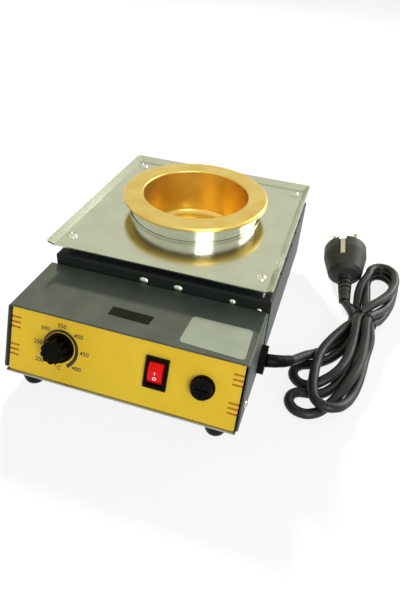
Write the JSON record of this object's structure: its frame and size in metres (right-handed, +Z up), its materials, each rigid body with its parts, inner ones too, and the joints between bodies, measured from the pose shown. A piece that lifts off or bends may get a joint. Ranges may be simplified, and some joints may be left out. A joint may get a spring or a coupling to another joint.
{
  "type": "solder pot",
  "caption": "Electric solder pot: round gold crucible in a steel shell on a folded housing with drip tray, temperature knob, rocker switch, fuse holder and mains cord",
  "frame": {"origin": "on the floor under the middle of the appliance, measured without the cord, its strain relief and its plug", "axes": "X to the right seen from the controls, Y from the control panel to the back, Z up; symmetric about no plane because the controls and the cord are on one side"},
  "size_m": [0.2554, 0.2532, 0.0875],
  "materials": {
    "grey_sheet": "satin painted sheet steel",
    "dark_sheet": "dark grey-green stove enamel on folded sheet steel",
    "yellow_sheet": "yellow powder coat on sheet steel",
    "stainless": "brushed stainless sheet",
    "zinc": "zinc plated steel",
    "screw_steel": "nickel plated steel",
    "gold_titanium": "turned steel with a gold titanium nitride coat",
    "polished_shell": "polished stainless",
    "mica_band": "steel clad mica band",
    "insulation": "ceramic fibre",
    "ceramic_white": "glazed steatite",
    "black_rubber": "moulded rubber",
    "black_gloss": "glossy moulded plastic",
    "black_plastic": "moulded plastic",
    "red_plastic": "translucent red plastic",
    "brass_part": "bare brass",
    "clear_glass": "clear glass tube",
    "board_green": "glass epoxy laminate",
    "alu_sink": "extruded aluminium",
    "capacitor_yellow": "moulded plastic case",
    "white_plastic": "moulded plastic",
    "cord_rubber": "rubber cord sheath",
    "plug_black": "moulded plastic",
    "pin_metal": "nickel plated brass"
  },
  "bodies": {
    "body": {"base_pan": "grey_sheet", "front_cover": "dark_sheet", "front_panel": "yellow_sheet", "rear_housing": "dark_sheet", "drip_tray": "stainless", "tray_spacers": "zinc", "tray_screws": "screw_steel", "tray_nuts": "zinc", "corner_stud": "screw_steel", "crucible": "gold_titanium", "heater_shell": "polished_shell", "band_heater": "mica_band", "insulation_ring": "insulation", "insulation_disc": "insulation", "shell_floor": "zinc", "heater_bracket": "zinc", "bracket_bolts": "zinc", "bracket_nuts": "zinc", "shell_stay": "zinc", "wall_bolts": "screw_steel", "wall_nuts": "zinc", "earth_screw": "screw_steel", "wall_screw": "screw_steel", "heater_terminal": "ceramic_white", "thermocouple": "screw_steel", "side_screws": "screw_steel", "rear_screws": "screw_steel", "foot_front_left": "black_rubber", "foot_front_right": "black_rubber", "foot_rear_left": "black_rubber", "foot_rear_right": "black_rubber", "foot_screws": "zinc", "foot_nuts": "zinc", "pot_body": "zinc", "pot_nut": "brass_part", "pot_washer": "zinc", "switch_body": "black_plastic", "switch_terminals": "brass_part", "fuse_body": "black_plastic", "fuse_nut": "black_plastic", "fuse_glass": "clear_glass", "fuse_ends": "screw_steel", "circuit_board": "board_green", "board_posts": "brass_part", "board_screws": "screw_steel", "triac": "black_plastic", "heat_sink": "alu_sink", "capacitor": "capacitor_yellow", "terminal_block": "white_plastic", "strain_relief": "black_plastic", "power_cord": "cord_rubber", "cord_hank": "cord_rubber", "cord_tie": "black_plastic", "plug_body": "plug_black", "plug_pins": "pin_metal", "plug_earth_clips": "pin_metal"},
    "knob_set": {"knob": "black_gloss", "pot_shaft": "screw_steel"},
    "rocker": {"switch_rocker": "red_plastic"},
    "fuse_carrier": {"fuse_cap": "black_gloss"}
  },
  "joints": [
    {"name": "knob_turn", "type": "hinge", "parent": "body", "child": "knob_set", "pos_m": [-0.042, -0.10481, 0.03562], "axis": [0, -0.9304, 0.3665], "range_deg": [-270, 0]},
    {"name": "switch_rock", "type": "hinge", "parent": "body", "child": "rocker", "pos_m": [0.024, -0.10462, 0.03608], "axis": [-1, 0, 0], "range_deg": [0, 24]},
    {"name": "fuse_cap_turn", "type": "hinge", "parent": "body", "child": "fuse_carrier", "pos_m": [0.0542, -0.10495, 0.03524], "axis": [0, -0.9304, 0.3665], "range_deg": [0, 90]}
  ]
}
